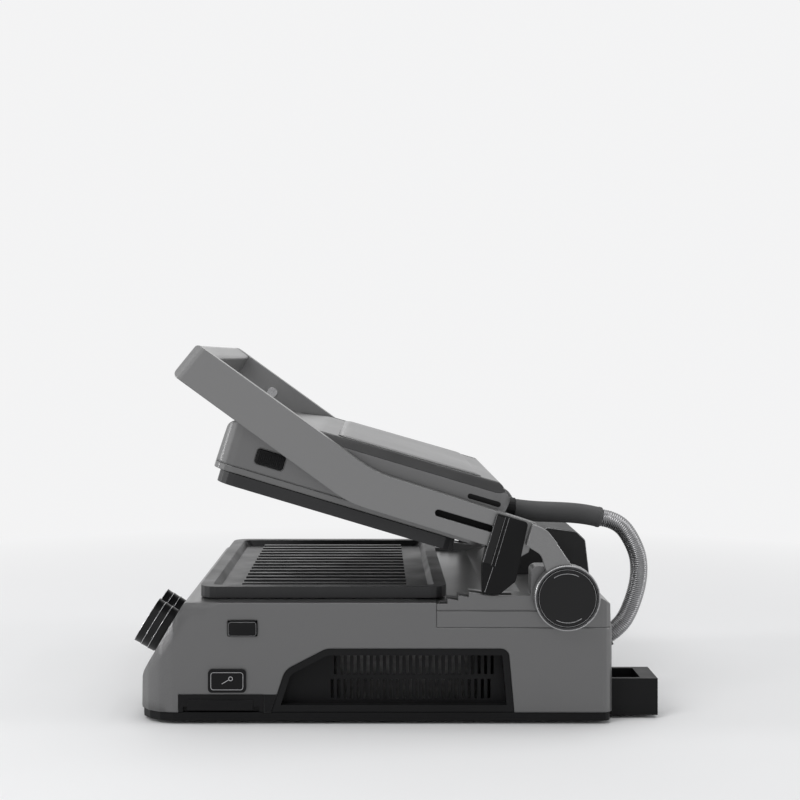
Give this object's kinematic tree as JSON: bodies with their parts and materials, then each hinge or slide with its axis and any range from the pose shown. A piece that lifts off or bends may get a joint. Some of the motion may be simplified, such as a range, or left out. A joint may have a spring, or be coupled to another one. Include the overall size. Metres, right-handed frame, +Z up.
{
  "type": "smokeless indoor grill",
  "caption": "Indoor contact grill with a floating lid on curved side arms, a smoke extraction tower, a sheathed conduit, side air grilles, dials, a probe drawer and a drip tray.",
  "frame": {"origin": "centre of the overall box, on the surface that the feet stand on", "axes": "+X towards the user's right, where the knobs and the probe drawer are; +Y towards the rear; +Z up"},
  "size_m": [0.356, 0.4391, 0.3095],
  "materials": {
    "grey_metal": "satin metallic grey paint",
    "arm_metal": "satin metallic grey, die-cast",
    "pale_metal": "satin, lighter metallic grey",
    "black_plastic": "satin black",
    "nonstick": "dark non-stick coating",
    "steel": "brushed",
    "rubber": "matt black",
    "board_green": "satin green"
  },
  "bodies": {
    "base": {"base_housing": "grey_metal", "base_pan": "black_plastic", "foot_front_left": "rubber", "foot_front_right": "rubber", "foot_rear_left": "rubber", "foot_rear_right": "rubber", "side_grille_left": "black_plastic", "side_grille_right": "black_plastic", "rear_deck": "grey_metal", "smoke_tower": "black_plastic", "intake_filter": "steel", "lower_plate": "nonstick", "lower_heater": "steel", "lower_reflector": "steel", "fan_scroll": "black_plastic", "fan_motor": "steel", "temperature_encoder": "steel", "timer_encoder": "steel", "control_board": "board_green", "probe_socket": "steel", "hinge_shaft_left": "steel", "hinge_shaft_right": "steel", "conduit_socket": "black_plastic", "conduit": "steel", "conduit_boot": "rubber"},
    "fan": {"fan_impeller": "black_plastic"},
    "temperature_dial": {"temperature_knob": "black_plastic"},
    "timer_dial": {"timer_knob": "black_plastic"},
    "lower_release": {"lower_plate_release": "black_plastic"},
    "probe_cover": {"probe_socket_cover": "black_plastic"},
    "drawer": {"probe_drawer": "black_plastic"},
    "tray": {"drip_tray": "black_plastic"},
    "yoke": {"arm_left": "arm_metal", "arm_right": "arm_metal", "handle_bar": "arm_metal", "handle_screw_left": "steel", "handle_screw_right": "steel", "hub_ring_left": "pale_metal", "hub_ring_right": "pale_metal", "hub_spring_left": "steel", "hub_spring_right": "steel"},
    "button_left": {"hub_button_left": "black_plastic"},
    "button_right": {"hub_button_right": "black_plastic"},
    "slider_left": {"height_slider_left": "black_plastic"},
    "slider_right": {"height_slider_right": "black_plastic"},
    "lid": {"lid_housing": "pale_metal", "lid_rim": "grey_metal", "lid_top_panel": "pale_metal", "upper_plate": "nonstick", "upper_heater": "steel", "upper_reflector": "steel", "lid_pivot_pin_left": "steel", "lid_pivot_pin_right": "steel", "conduit_gland": "black_plastic"},
    "upper_release": {"upper_plate_release": "black_plastic"}
  },
  "joints": [
    {"name": "fan_spin", "type": "hinge", "parent": "base", "child": "fan", "pos_m": [0, 0.118, 0.056], "axis": [0, 0, 1], "continuous": true},
    {"name": "temperature_turn", "type": "hinge", "parent": "base", "child": "temperature_dial", "pos_m": [0.13, -0.1916, 0.0691], "axis": [0, -0.857, 0.5153], "range_deg": [0, 300]},
    {"name": "timer_turn", "type": "hinge", "parent": "base", "child": "timer_dial", "pos_m": [0.084, -0.1916, 0.0691], "axis": [0, -0.857, 0.5153], "range_deg": [0, 300]},
    {"name": "lower_release_press", "type": "slide", "parent": "base", "child": "lower_release", "axis": [-1, 0, 0], "range_m": [0, 0.0025], "stiffness_N_per_m": 800, "springref_m": -0.002},
    {"name": "probe_cover_swing", "type": "hinge", "parent": "base", "child": "probe_cover", "pos_m": [0.1675, -0.1535, 0.0358], "axis": [0, 0, -1], "range_deg": [0, 100]},
    {"name": "probe_drawer_slide", "type": "slide", "parent": "base", "child": "drawer", "axis": [1, 0, 0], "range_m": [0, 0.06]},
    {"name": "drip_tray_slide", "type": "slide", "parent": "base", "child": "tray", "axis": [0, 1, 0], "range_m": [0, 0.06]},
    {"name": "lid_hinge", "type": "hinge", "parent": "base", "child": "yoke", "pos_m": [0, 0.1383, 0.105], "axis": [-1, 0, 0], "range_deg": [-16.6, 159.4], "deforming": ["conduit", "conduit_boot"]},
    {"name": "button_press_left", "type": "slide", "parent": "yoke", "child": "button_left", "axis": [1, 0, 0], "range_m": [0, 0.003], "stiffness_N_per_m": 800, "springref_m": -0.002, "deforming": ["hub_spring_left"]},
    {"name": "button_press_right", "type": "slide", "parent": "yoke", "child": "button_right", "axis": [-1, 0, 0], "range_m": [0, 0.003], "stiffness_N_per_m": 800, "springref_m": -0.002, "deforming": ["hub_spring_right"]},
    {"name": "height_slide_left", "type": "slide", "parent": "yoke", "child": "slider_left", "axis": [0, -0.9583, 0.2857], "range_m": [0, 0.034]},
    {"name": "height_slide_right", "type": "slide", "parent": "yoke", "child": "slider_right", "axis": [0, -0.9583, 0.2857], "range_m": [0, 0.034]},
    {"name": "lid_float", "type": "hinge", "parent": "yoke", "child": "lid", "pos_m": [0, 0.0671, 0.1638], "axis": [-1, 0, 0], "range_deg": [0, 5]},
    {"name": "upper_release_press", "type": "slide", "parent": "lid", "child": "upper_release", "axis": [-1, 0, 0], "range_m": [0, 0.002], "stiffness_N_per_m": 800, "springref_m": -0.002}
  ]
}
